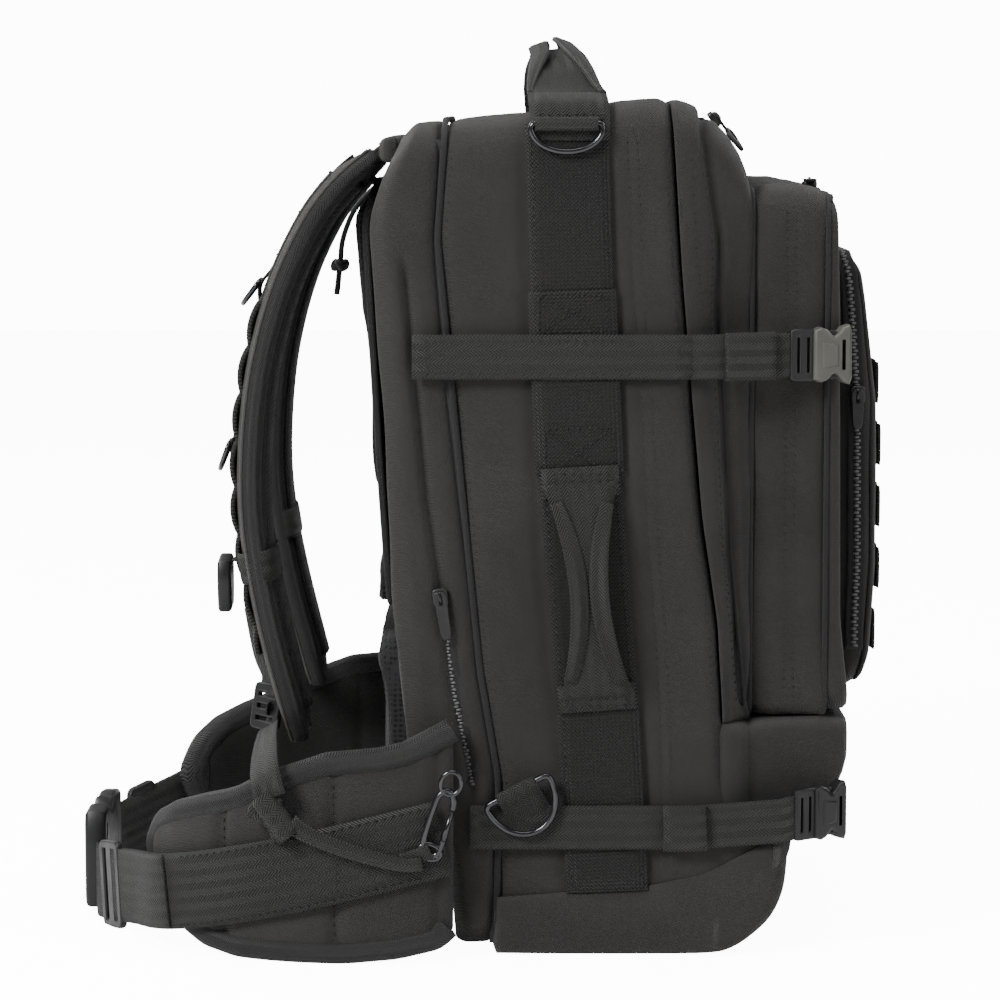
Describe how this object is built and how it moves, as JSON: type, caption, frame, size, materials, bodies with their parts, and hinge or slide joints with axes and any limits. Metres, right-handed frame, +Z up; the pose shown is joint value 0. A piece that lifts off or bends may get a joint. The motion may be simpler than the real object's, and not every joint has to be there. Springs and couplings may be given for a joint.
{
  "type": "trauma backpack",
  "caption": "Large padded backpack for trauma kit with fold-down front, pockets, carry handles, compression straps, shoulder harness and padded hip belt, standing on its base.",
  "frame": {"origin": "middle of the width on the flat face of the base, below the side webbing", "axes": "+Z up, +X from the harness to the pockets, +Y towards the wearer's right side"},
  "size_m": [0.4935, 0.4264, 0.55],
  "materials": {
    "fabric_shell": "matt coated nylon weave",
    "webbing": "woven nylon strap",
    "mesh_padding": "padded spacer mesh and nylon",
    "buckle_plastic": "satin moulded acetal",
    "olive_plastic": "satin moulded acetal",
    "ring_metal": "gloss black plated steel",
    "zip_metal": "black coated zinc",
    "stiffener": "smooth sheet",
    "stay_aluminium": "satin",
    "cord": "braided nylon"
  },
  "bodies": {
    "pack": {"back_panel": "mesh_padding", "frame_sheet": "stiffener", "stay": "stay_aluminium", "rear_divider": "fabric_shell", "back_gusset_left": "fabric_shell", "back_gusset_right": "fabric_shell", "lumbar_pad": "mesh_padding", "strap_yoke": "webbing", "side_panel_left": "fabric_shell", "side_panel_right": "fabric_shell", "top_panel": "fabric_shell", "base_cover": "fabric_shell", "lower_pocket": "fabric_shell", "side_web_left": "webbing", "side_web_right": "webbing", "upper_strap_left": "webbing", "upper_strap_right": "webbing", "lower_strap_left": "webbing", "lower_strap_right": "webbing", "lower_male_left": "buckle_plastic", "lower_male_right": "buckle_plastic", "pull_cord": "cord"},
    "main_door": {"door_shell": "fabric_shell", "pocket_gusset": "fabric_shell", "upper_female_left": "olive_plastic", "upper_female_right": "olive_plastic"},
    "pocket_door": {"pocket_panel": "fabric_shell", "admin_gusset": "fabric_shell"},
    "admin_door": {"admin_panel": "fabric_shell"},
    "carry_handle": {"carry_handle": "webbing"},
    "back_zip": {"back_zip_slider": "zip_metal"},
    "pocket_zip": {"pocket_zip_slider": "zip_metal"},
    "admin_zip": {"admin_zip_slider": "zip_metal"},
    "main_zip": {"main_zip_slider": "zip_metal"},
    "strap_end_left": {"upper_strap_end_left": "webbing", "upper_male_left": "buckle_plastic"},
    "lower_buckle_left": {"lower_female_left": "buckle_plastic"},
    "side_handle_left": {"side_handle_left": "webbing"},
    "top_ring_left": {"top_ring_left": "ring_metal"},
    "lower_ring_left": {"lower_ring_left": "ring_metal"},
    "shoulder_strap_left": {"shoulder_strap_left": "mesh_padding"},
    "sternum_left": {"sternum_buckle_left": "buckle_plastic"},
    "hip_wing_left": {"hip_wing_left": "mesh_padding", "hip_web_left": "webbing", "adjuster_web_left": "webbing", "snap_hook_left": "ring_metal", "hip_buckle_female": "buckle_plastic"},
    "strap_end_right": {"upper_strap_end_right": "webbing", "upper_male_right": "buckle_plastic"},
    "lower_buckle_right": {"lower_female_right": "buckle_plastic"},
    "side_handle_right": {"side_handle_right": "webbing"},
    "top_ring_right": {"top_ring_right": "ring_metal"},
    "lower_ring_right": {"lower_ring_right": "ring_metal"},
    "shoulder_strap_right": {"shoulder_strap_right": "mesh_padding"},
    "sternum_right": {"sternum_buckle_right": "buckle_plastic"},
    "hip_wing_right": {"hip_wing_right": "mesh_padding", "hip_web_right": "webbing", "adjuster_web_right": "webbing", "snap_hook_right": "ring_metal", "hip_buckle_male": "buckle_plastic"}
  },
  "joints": [
    {"name": "main_door_fold", "type": "hinge", "parent": "pack", "child": "main_door", "pos_m": [0.143, 0, 0.14], "axis": [0, 1, 0], "range_deg": [0, 75]},
    {"name": "pocket_door_fold", "type": "hinge", "parent": "main_door", "child": "pocket_door", "pos_m": [0.1327, 0, 0.1425], "axis": [0, 1, 0], "range_deg": [0, 45]},
    {"name": "admin_door_fold", "type": "hinge", "parent": "pocket_door", "child": "admin_door", "pos_m": [0.151, 0, 0.155], "axis": [0, 1, 0], "range_deg": [0, 40]},
    {"name": "carry_handle_swing", "type": "hinge", "parent": "pack", "child": "carry_handle", "pos_m": [-0.03, 0, 0.514], "axis": [0, 1, 0], "range_deg": [-50, 50]},
    {"name": "upper_strap_swing_left", "type": "hinge", "parent": "pack", "child": "strap_end_left", "pos_m": [0.043, -0.1818, 0.361], "axis": [0, 0, -1], "range_deg": [0, 75]},
    {"name": "lower_buckle_release_left", "type": "slide", "parent": "pack", "child": "lower_buckle_left", "axis": [0.8196, 0.5729, 0], "range_m": [0, 0.025]},
    {"name": "side_handle_swing_left", "type": "hinge", "parent": "pack", "child": "side_handle_left", "pos_m": [-0.01745, -0.1845, 0.222], "axis": [-0.0825, 0, 0.9966], "range_deg": [-30, 30]},
    {"name": "top_ring_swing_left", "type": "hinge", "parent": "pack", "child": "top_ring_left", "pos_m": [-0.0308, -0.1842, 0.497], "axis": [-1, 0, 0], "range_deg": [0, 100]},
    {"name": "lower_ring_swing_left", "type": "hinge", "parent": "pack", "child": "lower_ring_left", "pos_m": [-0.059, -0.1868, 0.1005], "axis": [-0.8823, 0, -0.4706], "range_deg": [0, 100]},
    {"name": "shoulder_strap_swing_left", "type": "hinge", "parent": "pack", "child": "shoulder_strap_left", "pos_m": [-0.146, -0.11, 0.478], "axis": [0, 1, 0], "range_deg": [0, 45]},
    {"name": "sternum_swing_left", "type": "hinge", "parent": "shoulder_strap_left", "child": "sternum_left", "pos_m": [-0.239, -0.112, 0.24], "axis": [0, 1, 0], "range_deg": [0, 60]},
    {"name": "hip_wing_swing_left", "type": "hinge", "parent": "pack", "child": "hip_wing_left", "pos_m": [-0.1005, -0.183, 0.07], "axis": [0, 0, 1], "range_deg": [0, 35]},
    {"name": "upper_strap_swing_right", "type": "hinge", "parent": "pack", "child": "strap_end_right", "pos_m": [0.043, 0.1818, 0.361], "axis": [0, 0, 1], "range_deg": [0, 75]},
    {"name": "lower_buckle_release_right", "type": "slide", "parent": "pack", "child": "lower_buckle_right", "axis": [0.8196, -0.5729, 0], "range_m": [0, 0.025]},
    {"name": "side_handle_swing_right", "type": "hinge", "parent": "pack", "child": "side_handle_right", "pos_m": [-0.01745, 0.1845, 0.222], "axis": [-0.0825, 0, 0.9966], "range_deg": [-30, 30]},
    {"name": "top_ring_swing_right", "type": "hinge", "parent": "pack", "child": "top_ring_right", "pos_m": [-0.0308, 0.1842, 0.497], "axis": [1, 0, 0], "range_deg": [0, 100]},
    {"name": "lower_ring_swing_right", "type": "hinge", "parent": "pack", "child": "lower_ring_right", "pos_m": [-0.059, 0.1868, 0.1005], "axis": [0.8823, 0, 0.4706], "range_deg": [0, 100]},
    {"name": "shoulder_strap_swing_right", "type": "hinge", "parent": "pack", "child": "shoulder_strap_right", "pos_m": [-0.146, 0.11, 0.478], "axis": [0, 1, 0], "range_deg": [0, 45]},
    {"name": "sternum_swing_right", "type": "hinge", "parent": "shoulder_strap_right", "child": "sternum_right", "pos_m": [-0.239, 0.112, 0.24], "axis": [0, 1, 0], "range_deg": [0, 60]},
    {"name": "hip_wing_swing_right", "type": "hinge", "parent": "pack", "child": "hip_wing_right", "pos_m": [-0.1005, 0.183, 0.07], "axis": [0, 0, -1], "range_deg": [0, 35]},
    {"name": "back_zip_slide", "type": "slide", "parent": "pack", "child": "back_zip", "axis": [0.1539, 0, -0.9881], "range_m": [0, 0.085]},
    {"name": "pocket_zip_slide", "type": "slide", "parent": "main_door", "child": "pocket_zip", "axis": [0, 1, 0], "range_m": [0, 0.18]},
    {"name": "admin_zip_slide", "type": "slide", "parent": "pocket_door", "child": "admin_zip", "axis": [0, 0, 1], "range_m": [-0.13, 0.06]},
    {"name": "main_zip_slide", "type": "slide", "parent": "main_door", "child": "main_zip", "axis": [0, 1, 0], "range_m": [0, 0.126]}
  ],
  "couplings": [
    {"joint": "upper_strap_swing_left", "follows": "main_door_fold", "ratio": 1},
    {"joint": "upper_strap_swing_right", "follows": "main_door_fold", "ratio": 1}
  ]
}
